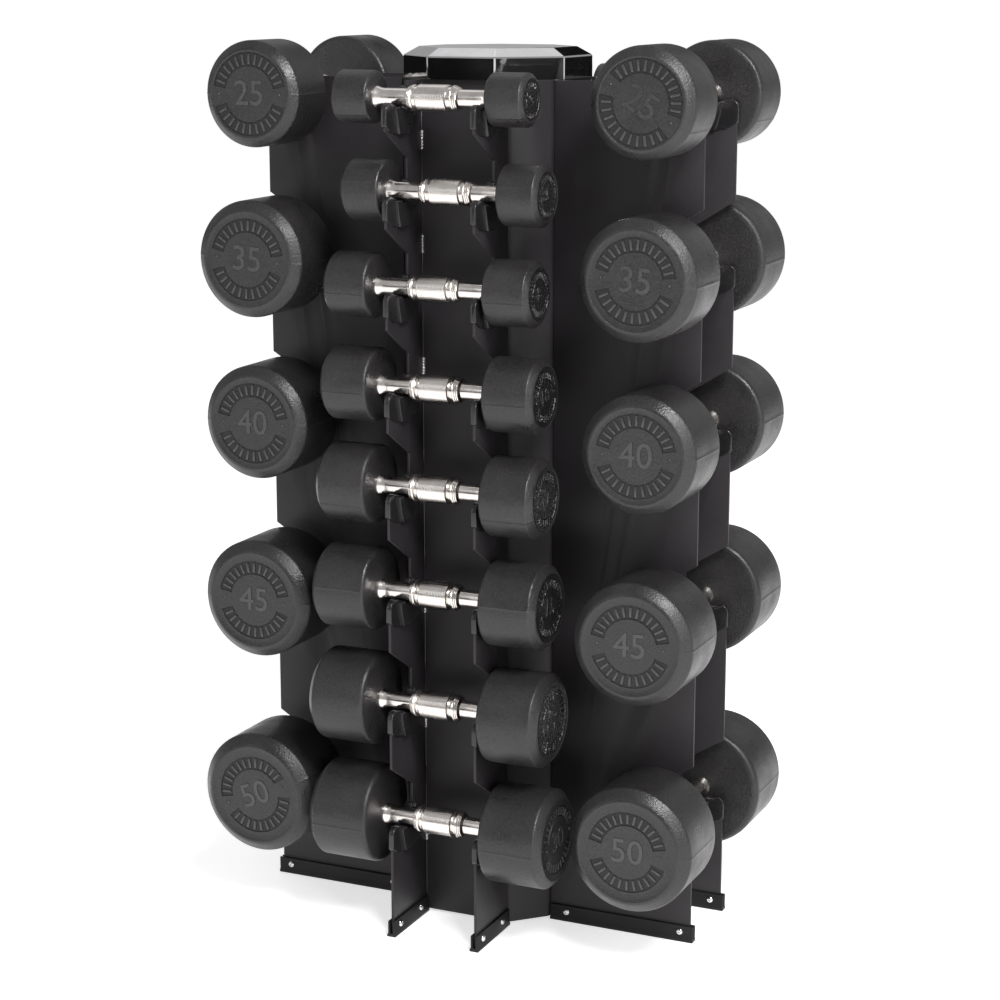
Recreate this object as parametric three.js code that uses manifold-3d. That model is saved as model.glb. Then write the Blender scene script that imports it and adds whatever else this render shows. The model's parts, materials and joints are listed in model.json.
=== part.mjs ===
// A free-standing dumbbell rack: an octagonal steel column with a pair of saw-toothed hook plates
// on each of its four sides, and thirteen pairs of urethane dumbbells resting on the hooks.
// Millimetres, +Z up. The origin is on the floor, under the middle of the column.
// A hook plate stands in a vertical plane: "out" is the distance from the column's axis in that plane.
import * as THREE from "three";
import { mergeVertices } from "three/addons/utils/BufferGeometryUtils.js";
import Module from "manifold-3d";

const wasm = await Module();
wasm.setup();

// Driving dimensions
const RACK_HEIGHT = 1054; // floor to the top of the cap
const COLUMN_ACROSS = 194; // across the four wide faces
const COLUMN_WALL = 2.5;
const COLUMN_RIM = 14; // how far the column's upper edge is turned in, which the cap sits on
const COLUMN_LIFT = 3; // the column's lower edge hangs this far above the floor
const CAP_OVERHANG = 6; // how far the cap stands out past the column's wide faces
const CAP_DEPTH = 35.5; // with its sloping rim
const CAP_PLUG = 12; // how far the cap's plug reaches down inside the column
const CAP_WALL = 4;
const CAP_RISE = 10; // height of the sloping rim round the cap's top
const CAP_RUN = 17; // width of that rim
const PLATE_SPACING = 110; // between the middle planes of a pair of hook plates
const PLATE_THICKNESS = 3.5;
const PLATE_MARGIN = 3; // from a plate's middle plane to the nearer corner of the column
const FRONT_REACH = 187; // outer edge of the front and back plates
const SIDE_STAND_OFF = 224; // from a front plate's middle plane to the outer edge of the plates on that side
const SEAT_INSET = 35; // from a plate's outer edge in to the axis of a resting handle
const LINER_LIP = 2.5; // how far a saddle liner stands out past its plate's edge
const LINER_DROP = 33; // from a handle's axis down to the foot of its liner
const LINER_BACK = 10; // how far the liner's rear wall rises above the handle's axis
const NOSE_RADIUS = 10;
const NOSE_RISE = 6; // how far the nose stands above the bottom of the seat
const NOTCH_WALL = 18.5; // from the handle's axis in to the notch's upright edge
const NOTCH_RISE = 69; // from the handle's axis up to the lower corner of the tooth above
const NOTCH_SLOPE = 31.5; // slope in degrees of the tooth's underside, the way a dumbbell lifts out
const FOOT_HEIGHT = 20;
const FOOT_BED = 4; // thickness of rubber under the plate
const FOOT_WIDTH = 8.5;
const FOOT_FLARE = 1.5; // how much wider the sole is on each side
const FOOT_SOLE = 5; // height of the flared sole
const FOOT_OVERHANG = 4.5; // how far the strip runs past the plate's outer edge
const SCREW_SHANK = 4.2;
const SCREW_HEAD = 8.4;
const SCREW_HEAD_DEPTH = 2.4;
const SCREW_HEIGHT = 12.2;
const SCREW_INSET = 12.5; // from the plate's outer edge in to the outer screw
const SCREW_OFFSET = 22; // from the column out to the inner screw
const HANDLE_RADIUS = 10.3; // the plain ends of a handle, which rest in the saddles
const GRIP_LENGTH = 66; // the thick middle of a handle
const GRIP_SMALL = 15.5; // grip radius of the light dumbbells
const GRIP_LARGE = 17;
const GRIP_CHANGE = 10; // the weight in pounds from which the grip is the large one
const FIT = 0.3; // clearance between pieces that touch
const AROUND = 12; // flats round a dumbbell

// Dumbbell heads by weight in pounds: radius, and length of one head
const HEADS = {
  3: [30.5, 47], 5: [35.5, 50], 8: [38.5, 57], 10: [44, 62.5], 12: [47.5, 66], 15: [51, 72],
  20: [56.5, 76], 25: [62.2, 79], 30: [60, 80], 35: [69.5, 90], 40: [69, 92], 45: [72.5, 96], 50: [75.5, 98],
};
const FRONT_HEAD_GAP = 18; // from a plate's middle plane out to the head beside it, on the front and back
const SIDE_HEAD_GAP = 21; // the same on the left and right

// Hooks from the top down: the weight, the handle's height, and how far the dumbbell was set down
// off the middle of its saddles, counted to the left as one faces that side of the rack.
const FRONT_HOOKS = [
  [3, 1000, 9], [5, 895, -7], [8, 785, 9], [10, 669, 7], [12, 550, 9.5], [15, 423, 9.5], [20, 287, 9.5], [30, 142, 6],
];
const BACK_HOOKS = [
  [3, 1000, -4], [5, 895, 3], [8, 785, -6], [10, 669, 5], [12, 550, -2], [15, 423, 6], [20, 287, -5], [30, 142, 2],
];
const RIGHT_HOOKS = [[25, 1000, 12.5], [35, 809, 12.5], [40, 613, 1], [45, 396.5, 8], [50, 151.5, 7]];
const LEFT_HOOKS = [[25, 1000, -7], [35, 809, -10], [40, 613, -3], [45, 396.5, -5], [50, 151.5, -12]];

const SIDE_REACH = PLATE_SPACING / 2 + SIDE_STAND_OFF; // outer edge of the left and right plates
const SIDES = [
  { name: "front", turn: -90, reach: FRONT_REACH, gap: FRONT_HEAD_GAP, hooks: FRONT_HOOKS },
  { name: "right", turn: 0, reach: SIDE_REACH, gap: SIDE_HEAD_GAP, hooks: RIGHT_HOOKS },
  { name: "back", turn: 90, reach: FRONT_REACH, gap: FRONT_HEAD_GAP, hooks: BACK_HOOKS },
  { name: "left", turn: 180, reach: SIDE_REACH, gap: SIDE_HEAD_GAP, hooks: LEFT_HOOKS },
];

// Sizes that follow
const COLUMN_HALF = COLUMN_ACROSS / 2;
const COLUMN_FACE = PLATE_SPACING + 2 * PLATE_MARGIN; // width of a wide face
const CAP_BOTTOM = RACK_HEIGHT - CAP_DEPTH;
const COLUMN_TOP = CAP_BOTTOM - FIT; // the plates' top edge too
const PLATE_FOOT = FOOT_BED + FIT;
const SEAT_RADIUS = HANDLE_RADIUS + FIT;
const FOOT_SLOT = PLATE_THICKNESS + 2 * FIT;
const rad = THREE.MathUtils.degToRad;

const steel = { color: 0x2f2e31, roughness: 0.55, metalness: 0.6 };
const chrome = { color: 0xd8d8da, roughness: 0.12, metalness: 1 };
const urethane = { color: 0x3a393b, roughness: 0.6, metalness: 0 };
const rubber = { color: 0x242425, roughness: 0.8, metalness: 0 };

function solid(geometry) {
  const plain = geometry.index ? geometry.toNonIndexed() : geometry;
  plain.deleteAttribute("normal");
  plain.deleteAttribute("uv");
  const merged = mergeVertices(plain, 1e-4);
  return new wasm.Manifold(
    new wasm.Mesh({
      numProp: 3,
      vertProperties: merged.attributes.position.array,
      triVerts: new Uint32Array(merged.index.array),
    }),
  );
}

function geometryOf(body) {
  const cut = body.getMesh();
  const geometry = new THREE.BufferGeometry();
  geometry.setAttribute("position", new THREE.BufferAttribute(cut.vertProperties, 3));
  geometry.setIndex(new THREE.BufferAttribute(cut.triVerts, 1));
  return geometry;
}

function mesh(name, geometry, look) {
  const made = new THREE.Mesh(geometry, new THREE.MeshStandardMaterial(look));
  made.name = name;
  return made;
}

// Points along an arc, both ends included; the angles are in radians.
function arc(out, height, radius, from, to, steps) {
  return Array.from({ length: steps + 1 }, (_, i) => {
    const angle = from + ((to - from) * i) / steps;
    return [out + radius * Math.cos(angle), height + radius * Math.sin(angle)];
  });
}

function extrude(points, holes, depth) {
  const shape = new THREE.Shape(points.map(([x, y]) => new THREE.Vector2(x, y)));
  for (const hole of holes) shape.holes.push(new THREE.Path(hole.map(([x, y]) => new THREE.Vector2(x, y))));
  return new THREE.ExtrudeGeometry(shape, { depth, bevelEnabled: false, steps: 1 });
}

// Corners of the column's outline: wide faces square to the axes, narrow faces across the corners.
function columnOutline(inset) {
  const half = COLUMN_HALF - inset;
  const face = COLUMN_FACE / 2 - inset * Math.tan(rad(22.5));
  return [[half, -face], [half, face], [face, half], [-face, half],
    [-half, face], [-half, -face], [-face, -half], [face, -half]];
}

function prism(outline, bottom, top) {
  const geometry = extrude(outline, [], top - bottom);
  geometry.translate(0, 0, bottom);
  return solid(geometry);
}

// An octagonal tube, open at the floor, with its upper edge turned in.
function column() {
  const outer = prism(columnOutline(0), COLUMN_LIFT, COLUMN_TOP);
  const hollow = prism(columnOutline(COLUMN_WALL), 0, COLUMN_TOP - COLUMN_WALL);
  const mouth = prism(columnOutline(COLUMN_RIM), 0, RACK_HEIGHT);
  return mesh("column", geometryOf(outer.subtract(hollow).subtract(mouth)), steel);
}

// A regular octagonal lid with a bevelled edge, and a plug below it that fits the column's mouth.
function topCap() {
  const across = COLUMN_HALF + CAP_OVERHANG;
  const corner = 1 / Math.cos(rad(22.5));
  const profile = [
    [0, CAP_BOTTOM], [across, CAP_BOTTOM], [across, RACK_HEIGHT - CAP_RISE],
    [across - CAP_RUN, RACK_HEIGHT], [0, RACK_HEIGHT],
  ];
  const lid = new THREE.LatheGeometry(profile.map(([r, z]) => new THREE.Vector2(r * corner, z)), 8);
  lid.rotateX(Math.PI / 2);
  lid.rotateZ(rad(22.5));
  const plug = prism(columnOutline(COLUMN_RIM + FIT), CAP_BOTTOM - CAP_PLUG, CAP_BOTTOM + CAP_WALL);
  const hollow = prism(columnOutline(COLUMN_RIM + FIT + CAP_WALL), 0, RACK_HEIGHT - CAP_WALL);
  return mesh("top_cap", geometryOf(solid(lid).add(plug).subtract(hollow)), chrome);
}

// Where the straight ramp leaves the seat's arc: the line that touches the seat from below
// and the round nose from above.
function rampAngle(noseOut, noseHeight) {
  const apart = Math.hypot(noseOut, noseHeight);
  return Math.asin((SEAT_RADIUS + NOSE_RADIUS) / apart) + Math.atan2(noseHeight, noseOut);
}

// One hook with its saddle, from its liner's outer foot up to the corner of the tooth above.
function hookOutline(reach, height) {
  const axis = reach - SEAT_INSET;
  const lip = reach + LINER_LIP;
  const noseOut = lip - NOSE_RADIUS - axis;
  const noseHeight = NOSE_RISE - SEAT_RADIUS - NOSE_RADIUS;
  const ramp = rampAngle(noseOut, noseHeight);
  const wall = axis - NOTCH_WALL;
  const toothDrop = (SEAT_INSET + NOTCH_WALL) * Math.tan(rad(NOTCH_SLOPE));
  return [
    [reach, height - LINER_DROP],
    [lip, height - LINER_DROP + LINER_LIP],
    ...arc(axis + noseOut, height + noseHeight, NOSE_RADIUS, 0, ramp + Math.PI / 2, 5),
    ...arc(axis, height, SEAT_RADIUS, ramp - Math.PI / 2, -Math.PI, 6),
    [axis - SEAT_RADIUS, height + LINER_BACK],
    [wall, height + LINER_BACK],
    [wall, height + NOTCH_RISE - toothDrop],
    [reach, height + NOTCH_RISE],
  ];
}

function screwPlaces(reach) {
  return [reach - SCREW_INSET, COLUMN_HALF + SCREW_OFFSET];
}

function screwHole(out) {
  return arc(out, SCREW_HEIGHT, SCREW_SHANK / 2 + FIT, 0, (-7 * Math.PI) / 4, 7);
}

function plateOutline(side) {
  const points = [[COLUMN_HALF + FIT, PLATE_FOOT], [side.reach, PLATE_FOOT]];
  const upward = [...side.hooks].reverse();
  upward.forEach(([, height], i) => {
    const hook = hookOutline(side.reach, height);
    points.push(...(i === upward.length - 1 ? hook.slice(0, -2) : hook));
  });
  const wall = side.reach - SEAT_INSET - NOTCH_WALL;
  points.push([wall, COLUMN_TOP], [COLUMN_HALF + FIT, COLUMN_TOP]);
  return points;
}

// Extruded along local Z, then stood up so that the outline's height becomes +Z.
function standUp(geometry, depth, offset) {
  geometry.rotateX(Math.PI / 2);
  geometry.translate(0, offset + depth / 2, 0);
  return geometry;
}

function plate(side, hand, offset) {
  const holes = screwPlaces(side.reach).map(screwHole);
  const geometry = extrude(plateOutline(side), holes, PLATE_THICKNESS);
  return mesh(`plate_${side.name}_${hand}`, standUp(geometry, PLATE_THICKNESS, offset), steel);
}

// A grooved rubber strip with a flared sole; the groove takes the plate's lower edge.
function foot(side, hand, offset) {
  const half = FOOT_WIDTH / 2;
  const sole = half + FOOT_FLARE;
  const slot = FOOT_SLOT / 2;
  const section = [
    [-sole, 0], [sole, 0], [sole, FOOT_SOLE / 2], [half, FOOT_SOLE], [half, FOOT_HEIGHT],
    [slot, FOOT_HEIGHT], [slot, FOOT_BED], [-slot, FOOT_BED], [-slot, FOOT_HEIGHT],
    [-half, FOOT_HEIGHT], [-half, FOOT_SOLE], [-sole, FOOT_SOLE / 2],
  ];
  const start = COLUMN_HALF + FIT;
  const length = side.reach + FOOT_OVERHANG - start;
  const strip = extrude(section, [], length);
  strip.rotateX(Math.PI / 2);
  strip.rotateZ(Math.PI / 2);
  strip.translate(start, 0, 0);
  let body = solid(strip);
  for (const out of screwPlaces(side.reach)) {
    const bore = extrude(screwHole(out).reverse(), [], 2 * FOOT_WIDTH);
    body = body.subtract(solid(standUp(bore, 2 * FOOT_WIDTH, 0)));
  }
  const geometry = geometryOf(body);
  geometry.translate(0, offset, 0);
  return mesh(`foot_${side.name}_${hand}`, geometry, rubber);
}

// A clamping screw through foot and plate, with a pan head on both ends.
function footScrew(side, hand, offset, place, out) {
  const face = FOOT_WIDTH / 2 + FIT;
  const shank = SCREW_SHANK / 2;
  const head = SCREW_HEAD / 2;
  const rim = SCREW_HEAD_DEPTH * 0.4;
  const half = [[head, face], [head, face + rim], [head * 0.6, face + SCREW_HEAD_DEPTH], [0, face + SCREW_HEAD_DEPTH]];
  const profile = [...half.map(([r, z]) => [r, -z]).reverse(), [shank, -face], [shank, face], ...half];
  const geometry = new THREE.LatheGeometry(profile.map(([r, z]) => new THREE.Vector2(r, z)), 8);
  geometry.translate(0, offset, 0);
  geometry.translate(out, 0, SCREW_HEIGHT);
  return mesh(`foot_screw_${side.name}_${hand}_${place}`, geometry, chrome);
}

// One solid of two heads and a handle, turned about the handle's axis.
function dumbbell(side, [pounds, height, along]) {
  const [radius, length] = HEADS[pounds];
  const inner = PLATE_SPACING / 2 + side.gap;
  const end = inner + length;
  const grip = pounds < GRIP_CHANGE ? GRIP_SMALL : GRIP_LARGE;
  const half = [
    [grip, GRIP_LENGTH / 2], [HANDLE_RADIUS, GRIP_LENGTH / 2], [HANDLE_RADIUS, inner],
    [radius * 0.88, inner], [radius, inner + radius * 0.1],
    [radius, end - radius * 0.16], [radius * 0.84, end], [0, end],
  ];
  const profile = [...half.map(([r, z]) => [r, -z]).reverse(), ...half];
  const geometry = new THREE.LatheGeometry(profile.map(([r, z]) => new THREE.Vector2(r, z)), AROUND);
  geometry.translate(side.reach - SEAT_INSET, -along, height);
  return mesh(`dumbbell_${side.name}_${pounds}`, geometry, urethane);
}

const rack = new THREE.Group();
rack.add(column(), topCap());
for (const side of SIDES) {
  // Each side is drawn facing +X and turned into place.
  const group = new THREE.Group();
  group.rotation.z = rad(side.turn);
  for (const [hand, offset] of [["left", -PLATE_SPACING / 2], ["right", PLATE_SPACING / 2]]) {
    group.add(plate(side, hand, offset), foot(side, hand, offset));
    screwPlaces(side.reach).forEach((out, i) => {
      group.add(footScrew(side, hand, offset, i ? "inner" : "outer", out));
    });
  }
  for (const hook of side.hooks) group.add(dumbbell(side, hook));
  rack.add(group);
}

export default rack;
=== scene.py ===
# %% [markdown]
# # A dumbbell rack
# An octagonal steel column carries a pair of saw-toothed hook plates on each of its four sides.
# Thirteen pairs of urethane dumbbells lie in plastic saddles on the hooks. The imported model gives
# every place and size, and this lesson models the surface of each piece around it.

# %% Load the frame
import json
import math

import bmesh
import bpy
from mathutils import Matrix, Vector

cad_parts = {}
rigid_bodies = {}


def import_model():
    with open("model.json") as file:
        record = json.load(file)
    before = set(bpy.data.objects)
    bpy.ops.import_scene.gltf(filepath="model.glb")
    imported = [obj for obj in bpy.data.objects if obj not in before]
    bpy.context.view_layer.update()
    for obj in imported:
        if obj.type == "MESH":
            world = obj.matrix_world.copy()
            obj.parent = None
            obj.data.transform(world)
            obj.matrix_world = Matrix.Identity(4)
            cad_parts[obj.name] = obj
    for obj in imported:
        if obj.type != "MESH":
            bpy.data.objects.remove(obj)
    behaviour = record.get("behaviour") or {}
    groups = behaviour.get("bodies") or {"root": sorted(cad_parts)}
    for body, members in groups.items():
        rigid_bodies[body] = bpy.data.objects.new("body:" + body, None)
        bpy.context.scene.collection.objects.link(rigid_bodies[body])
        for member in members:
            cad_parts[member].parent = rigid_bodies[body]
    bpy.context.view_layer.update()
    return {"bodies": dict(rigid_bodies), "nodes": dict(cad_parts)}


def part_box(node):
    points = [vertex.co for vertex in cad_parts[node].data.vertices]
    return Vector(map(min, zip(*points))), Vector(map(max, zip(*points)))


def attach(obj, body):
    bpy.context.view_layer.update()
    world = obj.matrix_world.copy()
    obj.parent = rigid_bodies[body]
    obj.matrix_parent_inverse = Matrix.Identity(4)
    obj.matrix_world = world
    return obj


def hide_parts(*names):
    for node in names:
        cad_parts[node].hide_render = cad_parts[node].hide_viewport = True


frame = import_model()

MM = 0.001

# %% [markdown]
# The camera stands to the right of the front, a little above the middle, with a long lens, so that
# the sides stay nearly parallel. The floor is one large pale sheet, and it fills the whole
# background. The plain Standard view keeps blacks black and the paper white. A wide soft light
# hangs above and a strip stands on each side. Chrome shows only what it mirrors, so dark cards
# stand where its sides look, the grey world above gives its top a soft tone, and two lights high
# behind it brighten the near slopes of its rim.

# %% Camera
CAMERA_LENS = 84.45
CAMERA_PLACE = (1.159, -2.555, 1.1315)
CAMERA_TILT = math.radians(77.46)
CAMERA_TURN = math.radians(24.35)
camera_data = bpy.data.cameras.new("camera")
camera_data.lens = CAMERA_LENS
camera = bpy.data.objects.new("camera", camera_data)
camera.location = CAMERA_PLACE
camera.rotation_euler = (CAMERA_TILT, 0, CAMERA_TURN)
bpy.context.scene.collection.objects.link(camera)
bpy.context.scene.camera = camera
bpy.context.scene.view_settings.view_transform = "Standard"
print("camera", tuple(camera.location))


# %% Lights
WORLD_STRENGTH = 0.4


def soft_light(name, place, aim, size, power):
    """A rectangular area light, aimed at a point; the size is in metres, the power in watts."""
    data = bpy.data.lights.new(name, "AREA")
    data.shape = "RECTANGLE"
    data.size, data.size_y = size
    data.energy = power
    light = bpy.data.objects.new(name, data)
    light.location = place
    light.rotation_euler = (Vector(aim) - Vector(place)).to_track_quat("-Z", "Y").to_euler()
    bpy.context.scene.collection.objects.link(light)


soft_light("light_above", (1.7, -1.7, 2.9), (0, 0, 0.5), (0.9, 0.9), 95)
soft_light("light_right", (2.5, -1.8, 1.5), (0.1, 0, 0.6), (0.4, 1.7), 26)
soft_light("light_left", (-2.0, -2.7, 1.6), (0, 0, 0.6), (0.4, 2.0), 5)
soft_light("light_cap_left", (-1.4, 1.5, 3.9), (0, 0, 1.0), (1.5, 1.5), 3.4)
soft_light("light_cap_right", (-0.2, 2.2, 4.3), (0, 0, 1.0), (1.5, 1.5), 3.4)
world = bpy.data.worlds.new("studio")
world.use_nodes = True
world.node_tree.nodes["Background"].inputs["Color"].default_value = (1, 1, 1, 1)
world.node_tree.nodes["Background"].inputs["Strength"].default_value = WORLD_STRENGTH
bpy.context.scene.world = world


# %% [markdown]
# ## Helpers
# Operators act on whatever is selected, so every step starts with nothing selected. A profile is
# drawn by extruding one corner to the next. It is then either spun round the Z axis, as on a lathe,
# or filled and thickened, as a sheet is cut from a plate.

# %% Select and edit
def nothing_selected():
    """Leaves edit mode and deselects every object."""
    if bpy.context.object and bpy.context.object.mode != "OBJECT":
        bpy.ops.object.mode_set(mode="OBJECT")
    for other in bpy.context.selected_objects:
        other.select_set(False)


def only(piece):
    """Makes one piece the only selected object, and the active one."""
    nothing_selected()
    piece.select_set(True)
    bpy.context.view_layer.objects.active = piece


def edit(piece):
    """Enters edit mode on one piece, in face mode with nothing selected."""
    only(piece)
    bpy.ops.object.mode_set(mode="EDIT")
    bpy.ops.mesh.select_mode(type="FACE")
    bpy.ops.mesh.select_all(action="DESELECT")


def done():
    bpy.ops.object.mode_set(mode="OBJECT")


def pick_faces(piece, wanted):
    """Selects the faces whose middle and normal pass the test, in edit mode."""
    work = bmesh.from_edit_mesh(piece.data)
    for face in work.faces:
        face.select_set(bool(wanted(face.calc_center_median(), face.normal)))
    bmesh.update_edit_mesh(piece.data)
    return sum(face.select for face in work.faces)


def pick_edges(piece, wanted):
    """Selects the edges whose two ends pass the test, in edit mode."""
    work = bmesh.from_edit_mesh(piece.data)
    for edge in work.edges:
        edge.select_set(bool(wanted(edge.verts[0].co, edge.verts[1].co)))
    bmesh.update_edit_mesh(piece.data)
    return sum(edge.select for edge in work.edges)


def looks_up(middle, normal):
    return normal.z > 0.9


def looks_down(middle, normal):
    return normal.z < -0.9


# %% Draw, spin and thicken
def draw(name, points):
    """A chain of corners: one vertex, extruded to each next point in turn."""
    nothing_selected()
    bpy.ops.mesh.primitive_plane_add(size=0.01, location=(0, 0, 0))
    piece = bpy.context.object
    piece.name = name
    piece.data.name = name
    bpy.ops.object.mode_set(mode="EDIT")
    bpy.ops.mesh.select_mode(type="VERT")
    bpy.ops.mesh.select_all(action="SELECT")
    bpy.ops.mesh.merge(type="CENTER")
    bpy.ops.transform.translate(value=points[0])
    for start, end in zip(points, points[1:]):
        step = Vector(end) - Vector(start)
        bpy.ops.mesh.extrude_vertices_move(TRANSFORM_OT_translate={"value": step})
    return piece


def spun(name, profile, around):
    """A solid of revolution. The profile is (radius, height) from the axis back to the axis."""
    piece = draw(name, [(radius, 0, height) for radius, height in profile])
    bpy.ops.mesh.select_all(action="SELECT")
    bpy.ops.mesh.spin(steps=around, angle=2 * math.pi, center=(0, 0, 0), axis=(0, 0, 1))
    bpy.ops.mesh.select_all(action="SELECT")
    bpy.ops.mesh.remove_doubles(threshold=1e-6)
    bpy.ops.mesh.normals_make_consistent(inside=False)
    done()
    return piece


def cut_sheet(name, outline, thickness, middle=0.0):
    """A sheet with an outline in the XZ plane, thickened along Y about the given middle."""
    near = middle - thickness / 2
    piece = draw(name, [(x, near, z) for x, z in outline])
    bpy.ops.mesh.select_all(action="SELECT")
    bpy.ops.mesh.edge_face_add()
    bpy.ops.mesh.extrude_region_move(TRANSFORM_OT_translate={"value": (0, thickness, 0)})
    bpy.ops.mesh.select_all(action="SELECT")
    bpy.ops.mesh.normals_make_consistent(inside=False)
    done()
    return piece


# %% Finish and place
def bevelled(piece, width, segments=2, angle=35):
    """Bevels every edge that is sharper than the angle, in degrees."""
    only(piece)
    bevel = piece.modifiers.new("bevel", "BEVEL")
    bevel.width = width
    bevel.segments = segments
    bevel.limit_method = "ANGLE"
    bevel.angle_limit = math.radians(angle)
    bpy.ops.object.modifier_apply(modifier=bevel.name)


def smooth(piece, angle=32):
    only(piece)
    bpy.ops.object.shade_smooth_by_angle(angle=math.radians(angle))
    return piece


def wear(piece, material):
    piece.data.materials.clear()
    piece.data.materials.append(material)


def join(first, *others):
    """Joins the others into the first piece."""
    only(first)
    for other in others:
        other.select_set(True)
    bpy.ops.object.join()
    return first


patterns = []


def placed(pattern, name, place, body, slot, *nodes):
    """A copy of a finished pattern with its own mesh, its place in the mesh, riding on a body."""
    piece = pattern.copy()
    piece.data = pattern.data.copy()
    piece.name = name
    piece.data.name = name
    bpy.context.scene.collection.objects.link(piece)
    piece.data.transform(place)
    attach(piece, body)
    if nodes:
        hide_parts(*nodes)
    if pattern not in patterns:
        patterns.append(pattern)
    return piece


def arc(middle_x, middle_z, radius, start, end, steps):
    """Points on an arc, both ends included; the angles are in degrees."""
    turns = [math.radians(start + (end - start) * i / steps) for i in range(steps + 1)]
    return [(middle_x + radius * math.cos(t), middle_z + radius * math.sin(t)) for t in turns]


# %% [markdown]
# ## Finishes
# Each finish is a Principled shader with a fine grain in its colour, roughness and bump. They all
# read Object coordinates in metres, so a grain of a millimetre is a scale of about a thousand.

# %% Build a finish
WHITE = (1, 1, 1, 1)
MIX_FIRST = 6  # the sockets of a Mix node that mixes colours: A, B and the result
MIX_SECOND = 7
MIX_RESULT = 2


def finish(name, colour, rough, metallic=0.0, spread=0.25, grain=900, rough_spread=0.12,
           bump=0.15, depth=0.0002, cloud=14, specular=0.5, speck=0.5):
    """A grainy finish: slow clouds and a fine grain vary the colour, the roughness and the bump.

    The speck says how much more the grain counts in the colour than the clouds do."""
    middle = (speck + 1) / 2
    swing = (speck + 1) / 5
    material = bpy.data.materials.new(name)
    material.use_nodes = True
    nodes, links = material.node_tree.nodes, material.node_tree.links
    shader = nodes["Principled BSDF"]
    shader.inputs["Metallic"].default_value = metallic
    shader.inputs["Specular IOR Level"].default_value = specular
    place = nodes.new("ShaderNodeTexCoord")
    fine = nodes.new("ShaderNodeTexNoise")
    fine.inputs["Scale"].default_value = grain
    fine.inputs["Detail"].default_value = 3
    slow = nodes.new("ShaderNodeTexNoise")
    slow.inputs["Scale"].default_value = cloud
    slow.inputs["Detail"].default_value = 4
    both = nodes.new("ShaderNodeMath")
    both.operation = "MULTIPLY_ADD"
    both.inputs[1].default_value = speck
    tint = nodes.new("ShaderNodeMapRange")
    tint.inputs["From Min"].default_value = middle - swing
    tint.inputs["From Max"].default_value = middle + swing
    tint.inputs["To Min"].default_value = 1 - spread
    tint.inputs["To Max"].default_value = 1 + spread
    shade = nodes.new("ShaderNodeMix")
    shade.data_type = "RGBA"
    shade.blend_type = "MULTIPLY"
    shade.inputs["Factor"].default_value = 1
    shade.inputs[MIX_FIRST].default_value = (*colour, 1)
    dull = nodes.new("ShaderNodeMapRange")
    dull.inputs["From Min"].default_value = 0.3
    dull.inputs["From Max"].default_value = 0.7
    dull.inputs["To Min"].default_value = max(0.02, rough - rough_spread)
    dull.inputs["To Max"].default_value = min(1, rough + rough_spread)
    relief = nodes.new("ShaderNodeBump")
    relief.inputs["Strength"].default_value = bump
    relief.inputs["Distance"].default_value = depth
    for texture in (fine, slow):
        links.new(place.outputs["Object"], texture.inputs["Vector"])
    links.new(fine.outputs["Fac"], both.inputs[0])
    links.new(slow.outputs["Fac"], both.inputs[2])
    links.new(both.outputs[0], tint.inputs["Value"])
    links.new(tint.outputs[0], shade.inputs[MIX_SECOND])
    links.new(shade.outputs[MIX_RESULT], shader.inputs["Base Color"])
    links.new(slow.outputs["Fac"], dull.inputs["Value"])
    links.new(dull.outputs[0], shader.inputs["Roughness"])
    links.new(fine.outputs["Fac"], relief.inputs["Height"])
    links.new(relief.outputs["Normal"], shader.inputs["Normal"])
    return material


# %% The finishes of the rack
powder = finish("powder_coat", (0.0185, 0.0162, 0.0182), 0.5, spread=0.3, grain=700, bump=0.3,
                depth=0.0003, cloud=9, specular=0.35, speck=1.2)
plastic = finish("moulded_plastic", (0.013, 0.0122, 0.0132), 0.24, grain=1200, specular=0.55)
rubber = finish("strip_rubber", (0.010, 0.0096, 0.0102), 0.5, grain=700, bump=0.3, specular=0.3)
zinc = finish("zinc_plate", (0.72, 0.72, 0.73), 0.22, metallic=1, spread=0.06, bump=0.05)
weld = finish("painted_weld", (0.02, 0.02, 0.02), 0.14, spread=0.3, grain=500, bump=0.4)
# Painted highlight: the weld beads are painted with the rack, yet they get a bright grey metal finish
# that stands in for the shine on their ripples.
bead_painted_sheen = finish("weld_painted_sheen", (0.42, 0.41, 0.42), 0.24, metallic=0.9, spread=0.4, grain=500,
                    bump=0.5)
chrome = finish("mirror_chrome", (0.66, 0.655, 0.665), 0.06, metallic=1, spread=0.12, grain=60,
                rough_spread=0.04, bump=0.12, depth=0.001, cloud=12)
handle_chrome = finish("turned_chrome", (0.80, 0.755, 0.72), 0.2, metallic=1, spread=0.16, grain=420,
                       rough_spread=0.08, bump=0.12, depth=0.0003, cloud=40)
urethane = finish("urethane", (0.0205, 0.0193, 0.0199), 0.36, spread=0.42, grain=430, bump=0.48,
                  depth=0.001, cloud=24, specular=0.45, speck=3)
# Painted shade: the floors of the sunken arcs on the heads get a darker copy of the urethane that
# stands in for the shade falling in them. Only its higher roughness is the real finish.
recess_painted_shade = finish("urethane_recess_painted_shade", (0.014, 0.0133, 0.0137), 0.5, spread=0.4, grain=430, bump=0.4,
              depth=0.001, specular=0.35, speck=3)
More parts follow.
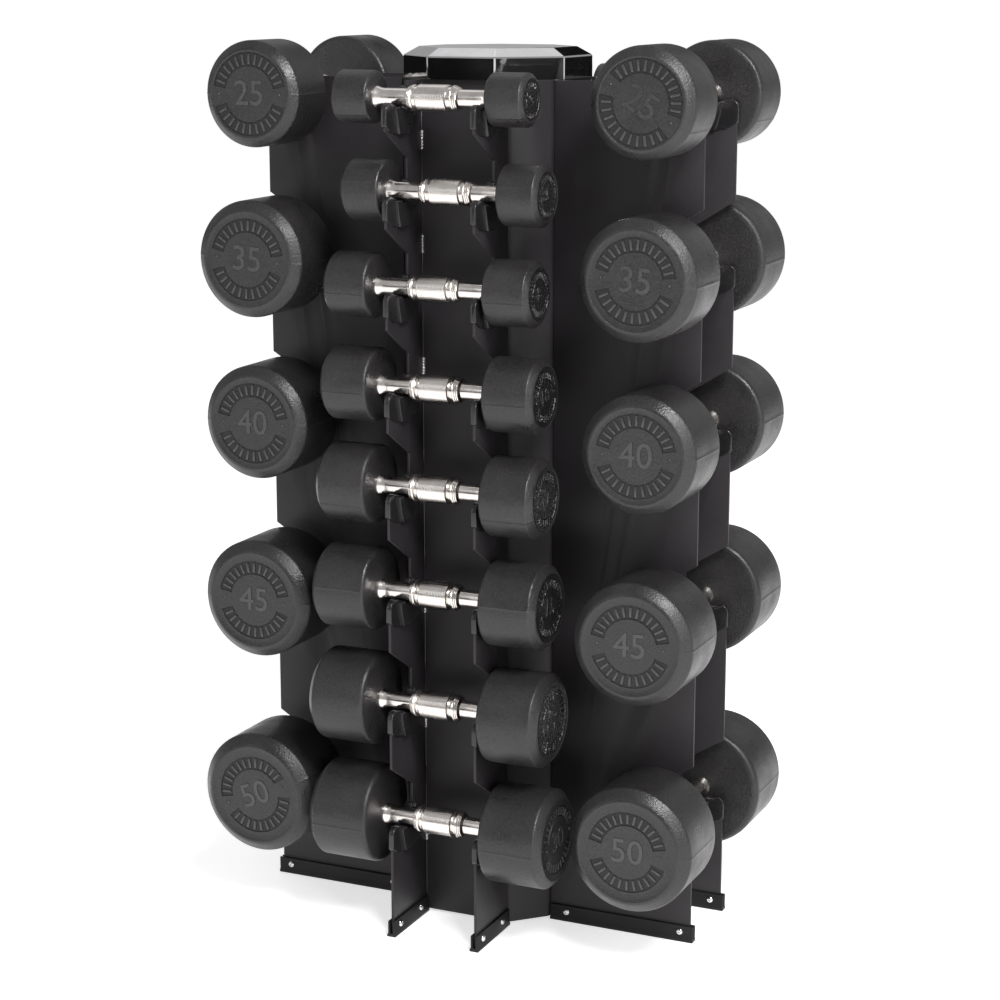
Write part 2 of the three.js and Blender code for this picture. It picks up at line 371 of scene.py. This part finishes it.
# Painted highlight: the raised bars and figures of the heavy heads get a lighter urethane that stands
# in for the light on their edges. Their glossier, rubbed finish is real wear.
raised_painted_highlight = finish("urethane_raised_painted_highlight", (0.036, 0.0343, 0.0351), 0.3, spread=0.3, grain=430, bump=0.2,
                depth=0.0006, specular=0.6, speck=2)
gloss = finish("moulded_badge", (0.012, 0.0115, 0.012), 0.16, spread=0.3, grain=380, bump=0.9,
               depth=0.002, specular=0.9, speck=2)
FLOOR_GLOW = 0.64
white = finish("floor_paper", (0.93, 0.93, 0.93), 0.8, spread=0.01, grain=40, bump=0.02)
white.node_tree.nodes["Principled BSDF"].inputs["Emission Color"].default_value = WHITE
white.node_tree.nodes["Principled BSDF"].inputs["Emission Strength"].default_value = FLOOR_GLOW
black = finish("card_felt", (0.004, 0.004, 0.004), 0.9, spread=0.2, grain=300, bump=0.1, specular=0.1)
print("finishes", [m.name for m in bpy.data.materials])

# %% Lay the floor
FLOOR_SIZE = 600
FLOOR_HEIGHT = -0.5 * MM
nothing_selected()
bpy.ops.mesh.primitive_plane_add(size=FLOOR_SIZE, location=(0, 0, FLOOR_HEIGHT))
floor = bpy.context.object
floor.name = "floor"
wear(floor, white)
print("floor", floor.dimensions[:])

# %% Stand the dark cards
# name: (place, size in metres)
CARDS = {"card_front": ((-1.9, -4.2, 0.9), 1.2), "card_corner": ((4.3, -2.0, 0.9), 1.2),
         "card_right": ((1.9, 4.2, 0.9), 1.4), "card_left": ((-4.2, 1.9, 0.9), 1.4),
         "card_high": ((-0.8, 4.1, 2.75), 1.6)}
for card_name, (card_place, card_size) in CARDS.items():
    nothing_selected()
    card_turn = Vector((card_place[0], card_place[1], 0)).to_track_quat("Z", "Y").to_euler()
    bpy.ops.mesh.primitive_plane_add(size=card_size, location=card_place, rotation=card_turn)
    card = bpy.context.object
    card.name = card_name
    card.visible_camera = False
    wear(card, black)
print("cards", list(CARDS))

# %% [markdown]
# ## Places read from the frame
# Each side of the rack is modelled facing +X and turned into place. Every dumbbell's box gives its
# height, its radius, its whole length and how far it was set down off the middle of its saddles.

# %% Sides and dumbbells
TURNS = {"front": -90, "right": 0, "back": 90, "left": 180}
PLATE_SPACING = 110 * MM
PLATE_THICKNESS = 3.5 * MM
SEAT_INSET = 35 * MM
HEAD_GAP = {"front": 18 * MM, "right": 21 * MM, "back": 18 * MM, "left": 21 * MM}
HANDS = (("left", -PLATE_SPACING / 2), ("right", PLATE_SPACING / 2))
SHAPES = (("front", ("front", "back")), ("side", ("right", "left")))


def turned(side):
    return Matrix.Rotation(math.radians(TURNS[side]), 4, "Z")


dumbbells = []
for body in frame["bodies"]:
    if not body.startswith("dumbbell_"):
        continue
    _, side, pounds = body.split("_")
    low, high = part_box(body)
    middle = turned(side).inverted() @ ((low + high) / 2)
    size = high - low
    dumbbells.append({"body": body, "side": side, "pounds": int(pounds), "out": middle.x,
                      "along": middle.y, "height": middle.z, "radius": size.z / 2,
                      "length": max(size.x, size.y) if side in ("front", "back") else size.y})
for entry in dumbbells:
    entry["inner"] = PLATE_SPACING / 2 + HEAD_GAP[entry["side"]]
    entry["head"] = entry["length"] / 2 - entry["inner"]
reach = {entry["side"]: entry["out"] + SEAT_INSET for entry in dumbbells}
column_low, column_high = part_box("column")
cap_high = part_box("top_cap")[1]
COLUMN_HALF = column_high.x
print("dumbbells", len(dumbbells), "reach", {s: round(r, 4) for s, r in reach.items()})

# %% [markdown]
# ## The column
# A real column of this kind is folded from sheet steel, so its long corners are rounded bends. An
# octagon is drawn, filled and pulled up, both ends are opened, its upright corners are bevelled and
# the wall is given its thickness inwards. The upper end is turned in, and the cap sits on it. The
# corners are bevelled last, because an inset of many short edges would cross itself.

# %% Model the column
COLUMN_FACE_HALF = PLATE_SPACING / 2 + 3 * MM
COLUMN_BEND = 5 * MM
COLUMN_WALL = 2.5 * MM
COLUMN_RIM = 14 * MM
half, face = COLUMN_HALF, COLUMN_FACE_HALF
corners = [(half, -face), (half, face), (face, half), (-face, half),
           (-half, face), (-half, -face), (-face, -half), (face, -half)]
column = draw("column_tube", [(x, y, column_low.z) for x, y in corners])
bpy.ops.mesh.select_all(action="SELECT")
bpy.ops.mesh.edge_face_add()
column_rise = column_high.z - column_low.z
bpy.ops.mesh.extrude_region_move(TRANSFORM_OT_translate={"value": (0, 0, column_rise)})
bpy.ops.mesh.select_all(action="SELECT")
bpy.ops.mesh.normals_make_consistent(inside=False)
bpy.ops.mesh.select_mode(type="FACE")
pick_faces(column, looks_up)
bpy.ops.mesh.inset(thickness=COLUMN_RIM)
bpy.ops.mesh.delete(type="FACE")
pick_faces(column, looks_down)
bpy.ops.mesh.delete(type="FACE")
bpy.ops.mesh.select_mode(type="EDGE")
pick_edges(column, lambda a, b: abs(a.z - b.z) > 0.5)
bpy.ops.mesh.bevel(offset=COLUMN_BEND, segments=4, affect="EDGES")
done()
only(column)
wall = column.modifiers.new("wall", "SOLIDIFY")
wall.thickness = COLUMN_WALL
wall.offset = -1
bpy.ops.object.modifier_apply(modifier=wall.name)
smooth(column, 30)
wear(column, powder)
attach(column, "rack")
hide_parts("column")
print("column faces", len(column.data.polygons))

# %% [markdown]
# ## The cap
# The cap is a bright octagonal lid. A cylinder with eight sides is turned to face the plates, its
# top is inset and raised for the sloping rim, and from below it is inset and pulled down into the
# plug, then inset and pushed up again to hollow it. Narrow bevels on the outer edges, cut last,
# catch the light.

# %% Model the cap
CAP_PLUG = 12 * MM
CAP_WALL = 4 * MM
CAP_RISE = 10 * MM
CAP_RUN = 17 * MM
CAP_EDGE = 1.2 * MM
CAP_GAP = 0.3 * MM
PLUG_FIT = 6 * MM
cap_across = cap_high.x
cap_bottom = column_high.z + CAP_GAP
cap_eave = cap_high.z - CAP_RISE
nothing_selected()
bpy.ops.mesh.primitive_cylinder_add(
    vertices=8, radius=cap_across / math.cos(math.pi / 8), depth=cap_eave - cap_bottom,
    location=(0, 0, (cap_eave + cap_bottom) / 2), rotation=(0, 0, math.pi / 8))
cap = bpy.context.object
cap.name = "cap_lid"
bpy.ops.object.transform_apply(location=True, rotation=True, scale=True)
edit(cap)
pick_faces(cap, looks_up)
bpy.ops.mesh.inset(thickness=CAP_RUN)
bpy.ops.transform.translate(value=(0, 0, CAP_RISE))
pick_faces(cap, looks_down)
bpy.ops.mesh.inset(thickness=cap_across - COLUMN_HALF + COLUMN_RIM + PLUG_FIT)
bpy.ops.mesh.extrude_region_move(TRANSFORM_OT_translate={"value": (0, 0, -CAP_PLUG)})
bpy.ops.mesh.inset(thickness=CAP_WALL)
hollow = CAP_PLUG + cap_high.z - cap_bottom - CAP_WALL
bpy.ops.mesh.extrude_region_move(TRANSFORM_OT_translate={"value": (0, 0, hollow)})
bpy.ops.mesh.select_mode(type="EDGE")
pick_edges(cap, lambda a, b: max(a.z, b.z) > cap_eave - 1e-5
           and min(a.xy.length, b.xy.length) > cap_across - CAP_RUN)
bpy.ops.mesh.bevel(offset=CAP_EDGE, segments=3, affect="EDGES")
done()
smooth(cap, 5)
wear(cap, chrome)
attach(cap, "rack")
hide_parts("top_cap")
print("cap faces", len(cap.data.polygons))

# %% [markdown]
# ## The hook plates
# The plates are cut from 3.5 mm sheet. Each hook's edge runs up to the nose, down a ramp into a
# round seat, up the notch's inner wall and out along the sloping underside of the tooth above. The
# outline is one chain of corners, so it is drawn once for the front and once for the sides, and
# each is copied and turned. A fine bevel makes the bright line along every cut edge.

# %% Outline of a plate
NOTCH_WALL = 18.5 * MM
NOTCH_RISE = 69 * MM
NOTCH_SLOPE = math.radians(31.5)
SEAT_RADIUS = 12.4 * MM
PLATE_FOOT = 4.3 * MM
FIT = 0.3 * MM
NOSE_RADIUS = 8 * MM
NOSE_OUT = 27.5 * MM
NOSE_DOWN = 14.6 * MM
NOSE_FOOT = 24 * MM
SEAT_TOP = 6 * MM


def plate_outline(out, heights, top):
    """The corners of a plate, from its lower inner corner round to its upper inner corner."""
    axis = out - SEAT_INSET
    wall_x = axis - NOTCH_WALL
    tooth_drop = (SEAT_INSET + NOTCH_WALL) * math.tan(NOTCH_SLOPE)
    points = [(COLUMN_HALF + FIT, PLATE_FOOT), (out, PLATE_FOOT)]
    for height in sorted(heights):
        points.append((out, height - NOSE_FOOT))
        points += arc(axis + NOSE_OUT, height - NOSE_DOWN, NOSE_RADIUS, 10, 135, 4)
        points += arc(axis, height, SEAT_RADIUS, -60, -180, 5)
        points += [(axis - SEAT_RADIUS, height + SEAT_TOP), (wall_x, height + SEAT_TOP)]
        if height < max(heights):
            points += [(wall_x, height + NOTCH_RISE - tooth_drop), (out, height + NOTCH_RISE)]
    points += [(wall_x, top), (COLUMN_HALF + FIT, top)]
    return points


# %% Cut the plates
def hook_heights(side):
    return [entry["height"] for entry in dumbbells if entry["side"] == side]


for shape, sides in SHAPES:
    outline = plate_outline(reach[sides[0]], hook_heights(sides[0]), column_high.z)
    pattern = cut_sheet("pattern_plate_" + shape, outline, PLATE_THICKNESS)
    bevelled(pattern, 0.45 * MM, 2)
    smooth(pattern, 40)
    wear(pattern, powder)
    for side in sides:
        for hand, across in HANDS:
            place = turned(side) @ Matrix.Translation((0, across, 0))
            placed(pattern, f"hook_plate_{side}_{hand}", place, "rack", "powder_steel",
                   f"plate_{side}_{hand}")
    print("plate", shape, "corners", len(outline), "faces", len(pattern.data.polygons))

# %% [markdown]
# ## The saddle liners
# A plastic liner is pressed over each hook and held by a rivet. It has two layers: a thin one whose
# round nose keeps the handle in, and a thicker cheek that starts at a slanted step and spreads
# back over the plate like a half moon. Both layers are cut sheets with soft edges, joined.

# %% Model a liner
LINER_THIN = 7 * MM
LINER_THICK = 14.6 * MM
LINER_NOSE = 10 * MM
HANDLE_SEAT = 11.6 * MM
FLARE_SEAT = 13.4 * MM
seat = arc(0, 0, HANDLE_SEAT, -61, -180, 8)
nose = arc(NOSE_OUT, -NOSE_DOWN, LINER_NOSE, 0, 119, 8)
cheek_back = [(-HANDLE_SEAT, 8 * MM), (-13 * MM, 11.5 * MM), (-18 * MM, 12.5 * MM)]
cheek_back += arc(-13 * MM, -14 * MM, 24 * MM, 100, 205, 8)
belly = [(-32 * MM, -31 * MM), (-22 * MM, -37 * MM), (-6 * MM, -41 * MM), (10 * MM, -41 * MM)]
thin_outline = nose + seat + cheek_back + belly + [
    (24 * MM, -38.5 * MM), (34 * MM, -33.5 * MM), (37.5 * MM, -30.5 * MM)]
wide_seat = arc(0, 0, FLARE_SEAT, -50, -180, 8)
cheek_step = [(10 * MM, -40.5 * MM), (13.5 * MM, -31 * MM), (17 * MM, -18 * MM), (18.5 * MM, -11 * MM)]
thick_outline = cheek_step + wide_seat + [(-FLARE_SEAT, 8 * MM)] + cheek_back[2:] + belly[:-1]
thin = cut_sheet("pattern_liner", thin_outline, LINER_THIN)
bevelled(thin, 1.1 * MM, 3)
thick = cut_sheet("liner_cheek", thick_outline, LINER_THICK)
bevelled(thick, 1.6 * MM, 3)
liner = smooth(join(thin, thick), 40)
wear(liner, plastic)
print("liner faces", len(liner.data.polygons))

# %% Rivet a liner
RIVET_RADIUS = 2.2 * MM
RIVET_PLACE = (-26 * MM, 0, -20 * MM)
rivet_profile = [(0, -LINER_THICK / 2 - 0.7 * MM), (1.3 * MM, -LINER_THICK / 2 - 0.6 * MM),
                 (RIVET_RADIUS, -LINER_THICK / 2), (RIVET_RADIUS, LINER_THICK / 2),
                 (1.3 * MM, LINER_THICK / 2 + 0.6 * MM), (0, LINER_THICK / 2 + 0.7 * MM)]
rivet = spun("pattern_rivet", rivet_profile, 16)
wear(rivet, weld)
smooth(rivet, 50)
rivet.data.transform(Matrix.Translation(RIVET_PLACE) @ Matrix.Rotation(math.pi / 2, 4, "X"))
liner = join(liner, rivet)
for entry in dumbbells:
    side = entry["side"]
    for hand, across in HANDS:
        place = turned(side) @ Matrix.Translation((entry["out"], across, entry["height"]))
        placed(liner, f"saddle_{side}_{entry['pounds']}_{hand}", place, "rack", "saddle_plastic")
print("liners", 2 * len(dumbbells))

# %% [markdown]
# ## The welds
# Short runs of weld join each plate to the column. A run is a row of flattened beads that overlap
# like coins laid on each other. They are painted with the rack, but the beads get a bright metal
# finish, a painted highlight for the shine of their ripples. A thin bead of sealer fills the corner
# between them from top to bottom.

# %% Lay the welds
WELD_STEP = 3.6 * MM
WELD_BEADS = 6
WELD_RADIUS = 3.3 * MM
WELD_OUT = 0.5 * MM
WELD_IN = 0.6 * MM
WELD_HEIGHTS = (0.095, 0.24, 0.385, 0.53, 0.675, 0.82, 0.94)
beads = []
for i in range(WELD_BEADS):
    nothing_selected()
    bpy.ops.mesh.primitive_uv_sphere_add(segments=10, ring_count=6, radius=WELD_RADIUS,
                                         location=(0, 0, i * WELD_STEP))
    bead = bpy.context.object
    bead.scale = (0.8, 0.9, 0.8)
    bpy.ops.object.transform_apply(location=True, rotation=True, scale=True)
    beads.append(bead)
weld_run = join(*beads)
weld_run.name = "weld_run"
# The beads wear the bright metal finish, a painted highlight for their shine.
wear(weld_run, bead_painted_sheen)
smooth(weld_run, 60)
sealer_profile = [(0, 12 * MM), (0.9 * MM, 13 * MM), (0.8 * MM, 250 * MM), (1.0 * MM, 500 * MM),
                  (0.8 * MM, 750 * MM), (0.9 * MM, column_high.z - 4 * MM), (0, column_high.z - 3 * MM)]
sealer = spun("sealer_bead", sealer_profile, 10)
wear(sealer, weld)
smooth(sealer, 60)
for side in TURNS:
    for hand, sign in (("left", -1), ("right", 1)):
        across = sign * (PLATE_SPACING / 2 - PLATE_THICKNESS / 2 - WELD_IN)
        runs = []
        for source, height in [(sealer, 0)] + [(weld_run, height) for height in WELD_HEIGHTS]:
            run = source.copy()
            run.data = source.data.copy()
            bpy.context.scene.collection.objects.link(run)
            run.data.transform(Matrix.Translation((COLUMN_HALF + WELD_OUT, across, height)))
            runs.append(run)
        pattern = join(*runs)
        placed(pattern, f"welds_{side}_{hand}", turned(side), "rack", "powder_steel")
patterns += [weld_run, sealer]
print("weld runs", 8 * len(WELD_HEIGHTS))

# %% [markdown]
# ## The feet and their screws
# A rubber strip with a flared sole is pushed over each plate's lower edge. Its section is drawn and
# pulled to its length. Two screws clamp it, with a bright head on each face and a round socket.

# %% Model the feet
FOOT = {"width": 8.5 * MM, "height": 20 * MM, "bed": 4 * MM, "flare": 1.5 * MM, "sole": 5 * MM}
foot_half = FOOT["width"] / 2
sole_half = foot_half + FOOT["flare"]
slot_half = PLATE_THICKNESS / 2 + FIT / 2
section = [(-sole_half, 0), (sole_half, 0), (sole_half, FOOT["sole"] / 2), (foot_half, FOOT["sole"]),
           (foot_half, FOOT["height"]), (slot_half, FOOT["height"]), (slot_half, FOOT["bed"]),
           (-slot_half, FOOT["bed"]), (-slot_half, FOOT["height"]), (-foot_half, FOOT["height"]),
           (-foot_half, FOOT["sole"]), (-sole_half, FOOT["sole"] / 2)]
for shape, sides in SHAPES:
    foot_low, foot_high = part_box(f"foot_{sides[1]}_left")
    length = max((foot_high - foot_low).xy)
    pattern = cut_sheet("pattern_foot_" + shape, section, length)
    bevelled(pattern, 0.5 * MM, 2)
    smooth(pattern, 40)
    wear(pattern, rubber)
    middle = COLUMN_HALF + FIT + length / 2
    quarter = Matrix.Rotation(math.pi / 2, 4, "Z")
    for side in sides:
        for hand, across in HANDS:
            place = turned(side) @ Matrix.Translation((middle, across, 0)) @ quarter
            placed(pattern, f"foot_strip_{side}_{hand}", place, "rack", "foot_rubber",
                   f"foot_{side}_{hand}")
    print("foot", shape, "length", round(length, 4))

# %% Model the screws
HEAD_RADIUS = 4.2 * MM
HEAD_DEPTH = 2.3 * MM
SOCKET = 1.5 * MM
face_at = foot_half + 0.05 * MM
head_profile = [(0, face_at + 0.9 * MM), (SOCKET, face_at + 1.0 * MM), (SOCKET, face_at + HEAD_DEPTH)]
head_profile += [(2.6 * MM, face_at + HEAD_DEPTH - 0.15 * MM), (3.6 * MM, face_at + 1.4 * MM),
                 (HEAD_RADIUS, face_at + 0.6 * MM), (HEAD_RADIUS, face_at)]
screw_profile = head_profile + [(1.9 * MM, face_at), (1.9 * MM, -face_at)]
screw_profile += [(r, -z) for r, z in reversed(head_profile)]
screw = spun("pattern_screw", screw_profile, 20)
wear(screw, zinc)
smooth(screw, 40)
screw.data.transform(Matrix.Rotation(math.pi / 2, 4, "X"))
for node in frame["nodes"]:
    if node.startswith("foot_screw_"):
        low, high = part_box(node)
        side = node.split("_")[2]
        place = Matrix.Translation((low + high) / 2) @ turned(side)
        placed(screw, node.replace("foot_screw", "clamp_screw"), place, "rack", "screw_zinc", node)
print("screw faces", len(screw.data.polygons))

# %% [markdown]
# ## The handles
# A handle is turned from bar. From the middle out it has a knurled grip with chamfered ends, a
# groove, a ringed collar that tapers down, and a plain bearing end that flares where it meets the
# head. The profile is spun, and each small face of the grip is poked into a pyramid for the knurl.

# %% Model the handles
GRIP_HALF = 19 * MM
KNURL_ROWS = 18
BEARING = 10.3 * MM
LIGHT_GRIP = 15.5 * MM
HEAVY_GRIP = 17 * MM


def handle_pattern(name, grip, inner):
    """One handle along Z, symmetrical about its middle, reaching a little into both heads."""
    half_profile = [(grip - 0.3 * MM, i * GRIP_HALF * 0.94 / (KNURL_ROWS / 2)) for i in range(10)]
    half_profile += [(grip - 1.6 * MM, GRIP_HALF), (13 * MM, GRIP_HALF + 0.1 * MM),
                     (13 * MM, 23.4 * MM), (grip - 1.2 * MM, 24 * MM), (grip - 0.6 * MM, 24.8 * MM)]
    for i in range(3):
        step = 25.6 + 1.9 * i
        radius = grip - 0.7 * MM - 0.9 * i * MM
        half_profile += [(radius - 0.5 * MM, step * MM), (radius - 0.1 * MM, (step + 0.5) * MM),
                         (radius - 0.3 * MM, (step + 1.5) * MM)]
    half_profile += [(11.6 * MM, 32.2 * MM), (BEARING, 33 * MM), (BEARING, inner - 11 * MM),
                     (BEARING + 0.3 * MM, inner - 8.5 * MM), (BEARING + 0.8 * MM, inner - 6 * MM),
                     (BEARING + 1.6 * MM, inner - 4 * MM), (BEARING + 2.6 * MM, inner - 1.6 * MM),
                     (BEARING + 2.8 * MM, inner - 1 * MM), (BEARING + 2.8 * MM, inner + 3 * MM),
                     (0, inner + 3 * MM)]
    profile = [(r, -z) for r, z in reversed(half_profile[1:])] + half_profile
    piece = spun(name, profile, 48)
    edit(piece)
    rows = pick_faces(piece, lambda middle, normal: abs(middle.z) < GRIP_HALF * 0.93
                      and abs(normal.z) < 0.1 and middle.xy.length > grip - 0.6 * MM)
    bpy.ops.mesh.poke(offset=0.3 * MM)
    done()
    smooth(piece, 24)
    wear(piece, handle_chrome)
    print(name, "knurls", rows)
    return piece


handles = {}
for entry in dumbbells:
    key = (entry["pounds"] < 10, round(entry["inner"], 5))
    if key not in handles:
        grip = LIGHT_GRIP if key[0] else HEAVY_GRIP
        handles[key] = handle_pattern(f"pattern_handle_{len(handles)}", grip, entry["inner"])
    entry["handle"] = handles[key]

# %% [markdown]
# ## The heads
# A head is cast in urethane: a barrel with a broad soft chamfer round its outer face and a smaller
# one round its inner face. The outer face has a soft step, and inside it a ring with two sunken
# arcs that hold plain raised bars. The weight stands in the middle of the face. A fine raised line
# down each side shows where the two halves of the mould met.

# %% Profile of a head
SEGMENTS = 96
BADGE = 48.5 * MM
BADGE_SHARE = 0.69
BADGE_INNER = 0.66
HEAVY = 25
SUNK = 1.3 * MM
SEAM = 0.35 * MM


def badge_of(pounds, radius):
    """The heavy heads share one badge, and a light head's badge is a share of its radius."""
    return BADGE if pounds >= HEAVY and radius > 60.5 * MM else BADGE_SHARE * radius


def head_profile_of(radius, length, badge):
    """(radius, height) from the middle of the inner face round to the middle of the outer face."""
    inner_round = 0.1 * radius
    points = [(0, 0), (0.4 * radius, 0), (radius - inner_round - 1 * MM, 0)]
    points += arc(radius - inner_round, inner_round, inner_round, -70, 0, 5)
    points += [(radius, length * 0.35), (radius, length * 0.65)]
    for share, drop in ((1, 0.172), (0.997, 0.152), (0.986, 0.135), (0.965, 0.115), (0.925, 0.078),
                        (0.885, 0.042), (0.855, 0.018), (0.835, 0.006)):
        points.append((share * radius, length - drop * radius))
    rim = max(0.8 * radius, badge + 1.3 * MM)
    points += [(rim + 0.5 * MM, length), (rim - 0.2 * MM, length - 0.45 * MM)]
    flat = length - 0.5 * MM
    points += [(badge, flat), (BADGE_INNER * badge, flat), (0.3 * badge, flat), (0, flat)]
    return points


# %% Bars and weight of a head
BARS = ((20, 160, 13), (208, 332, 11))  # each arc's first and last bar, in degrees, and how many
BAR_LONG = 0.24
BAR_WIDE = 0.055
FIGURE_SHARE = 0.84


def raised_bars(badge, flat):
    """Plain upright bars in the two sunken arcs of the ring, and a dot between the arcs."""
    bars = []
    middle = badge * (1 + BADGE_INNER) / 2
    for start, end, count in BARS:
        for i in range(count):
            angle = math.radians(start + (end - start) * i / (count - 1))
            nothing_selected()
            bpy.ops.mesh.primitive_cube_add(size=1, location=(middle, 0, flat - SUNK / 2 - 0.2 * MM))
            bar = bpy.context.object
            bar.scale = (BAR_LONG * badge, BAR_WIDE * badge, SUNK)
            bpy.ops.object.transform_apply(location=True, rotation=True, scale=True)
            edit(bar)
            pick_faces(bar, looks_up)
            bpy.ops.mesh.inset(thickness=0.012 * badge)
            bpy.ops.transform.translate(value=(0, 0, 0.35 * MM))
            done()
            bar.data.transform(Matrix.Rotation(angle, 4, "Z"))
            bars.append(bar)
    for angle in (0, math.pi):
        nothing_selected()
        bpy.ops.mesh.primitive_uv_sphere_add(segments=10, ring_count=6, radius=0.034 * badge,
                                             location=(middle * math.cos(angle), 0, flat))
        bars.append(bpy.context.object)
        bpy.ops.object.transform_apply(location=True, rotation=True, scale=True)
    return bars


def raised_weight(pounds, badge, flat):
    """The weight as thick rounded figures that stand on the face."""
    nothing_selected()
    bpy.ops.object.text_add(location=(0, 0, 0))
    text = bpy.context.object
    text.data.body = str(pounds)
    text.data.align_x = "CENTER"
    text.data.align_y = "CENTER"
    text.data.size = FIGURE_SHARE * badge
    text.data.extrude = 0.9 * MM
    text.data.bevel_depth = 0.3 * MM
    text.data.bevel_resolution = 1
    text.data.resolution_u = 5
    bpy.ops.object.convert(target="MESH")
    text.data.transform(Matrix.Translation((0, 0, flat + 0.1 * MM)))
    return text


# %% Model the heads
def seam_edge(a, b, rim):
    """True on the two lines down the barrel and the chamfer where the halves of the mould meet."""
    return abs(a.y) + abs(b.y) < 1e-6 and min(abs(a.x), abs(b.x)) > 0.8 * rim and max(a.z, b.z) > 0.01


def head_pattern(pounds, radius, length):
    """One head along +Z, from its inner face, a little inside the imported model's head."""
    top = length - 0.3 * MM
    rim = radius - 0.4 * MM
    badge = badge_of(pounds, radius)
    flat = top - 0.5 * MM
    piece = spun(f"pattern_head_{pounds}", head_profile_of(rim, top, badge), SEGMENTS)
    edit(piece)

    def in_ring(middle, normal):
        away = math.hypot(middle.x, middle.y) / badge
        angle = math.degrees(math.atan2(middle.y, middle.x))
        return normal.z > 0.9 and BADGE_INNER < away < 1 and (11 < angle < 169 or -161 < angle < -19)

    pick_faces(piece, in_ring)
    bpy.ops.mesh.inset(thickness=0.4 * MM, depth=-SUNK)
    bpy.ops.mesh.select_mode(type="EDGE")
    pick_edges(piece, lambda a, b: seam_edge(a, b, rim))
    bpy.ops.mesh.bevel(offset=0.8 * MM, segments=2, affect="EDGES")
    for sign in (-1, 1):
        bpy.ops.mesh.select_all(action="DESELECT")
        pick_edges(piece, lambda a, b: sign * a.x > 0 and seam_edge(a, b, rim))
        bpy.ops.transform.translate(value=(sign * SEAM, 0, 0))
    done()
    wear(piece, urethane)
    piece.data.materials.append(gloss)
    # Material 2 is the darker urethane, painted shade in the sunken arcs.
    piece.data.materials.append(recess_painted_shade)
    for polygon in piece.data.polygons:
        middle = polygon.center
        away = math.hypot(middle.x, middle.y)
        if pounds < HEAVY and middle.z > flat - 2 * MM and away < 0.79 * rim:
            polygon.material_index = 1
        # The floors of the sunken arcs take the painted shade.
        elif abs(middle.z - flat + SUNK) < 0.2 * MM and away < badge:
            polygon.material_index = 2
    extras = raised_bars(badge, flat) + [raised_weight(pounds, badge, flat - 0.4 * MM)]
    # The heavy heads' bars and figures wear the lighter urethane, which is partly real wear and partly
    # painted highlight.
    for extra in extras:
        wear(extra, gloss if pounds < HEAVY else raised_painted_highlight)
    smooth(join(piece, *extras), 34)
    return piece


heads = {}
for entry in dumbbells:
    if entry["pounds"] not in heads:
        heads[entry["pounds"]] = head_pattern(entry["pounds"], entry["radius"], entry["head"])
print("head faces", {p: len(h.data.polygons) for p, h in heads.items()})

# %% [markdown]
# ## Setting the dumbbells down
# A head pattern looks along +Z with its figures upright along +Y. For each end of a dumbbell it is
# turned so that +Z points away from the handle and +Y points up. People set dumbbells down as they
# come, so a few of them are rolled.

# %% Place heads and handles
ROLLED = {("right", 25): 30, ("left", 50): 22, ("right", 35): 4, ("left", 35): -3, ("front", 8): 12,
          ("front", 15): -8, ("front", 20): 70, ("front", 12): 25, ("front", 5): -20,
          ("front", 10): 8, ("front", 3): 40, ("front", 30): 5, ("back", 12): 15}


def facing(outward, roll):
    """Turns +Z to the outward direction and +Y to up, then rolls about the outward direction."""
    out = Vector(outward)
    up = Vector((0, 0, 1))
    across = up.cross(out)
    turn = Matrix((across, up, out)).transposed().to_4x4()
    return turn @ Matrix.Rotation(roll, 4, "Z")


for entry in dumbbells:
    side, pounds = entry["side"], entry["pounds"]
    roll = math.radians(-ROLLED.get((side, pounds), 0))
    centre = turned(side) @ Matrix.Translation((entry["out"], entry["along"], entry["height"]))
    for end, sign in (("left", -1), ("right", 1)):
        swing = facing((0, sign, 0), roll if sign < 0 else -roll)
        place = centre @ Matrix.Translation((0, sign * entry["inner"], 0)) @ swing
        placed(heads[pounds], f"head_{side}_{pounds}_{end}", place, entry["body"],
               "head_urethane", entry["body"])
    place = centre @ Matrix.Rotation(math.pi / 2, 4, "X")
    placed(entry["handle"], f"handle_{side}_{pounds}", place, entry["body"], "handle_chrome",
           entry["body"])
print("dumbbells set down", len(dumbbells))

# %% [markdown]
# ## Clear away
# The patterns were only there to be copied. The visual model must stay inside the model's box.

# %% Finish
for pattern in set(patterns):
    bpy.data.objects.remove(pattern)
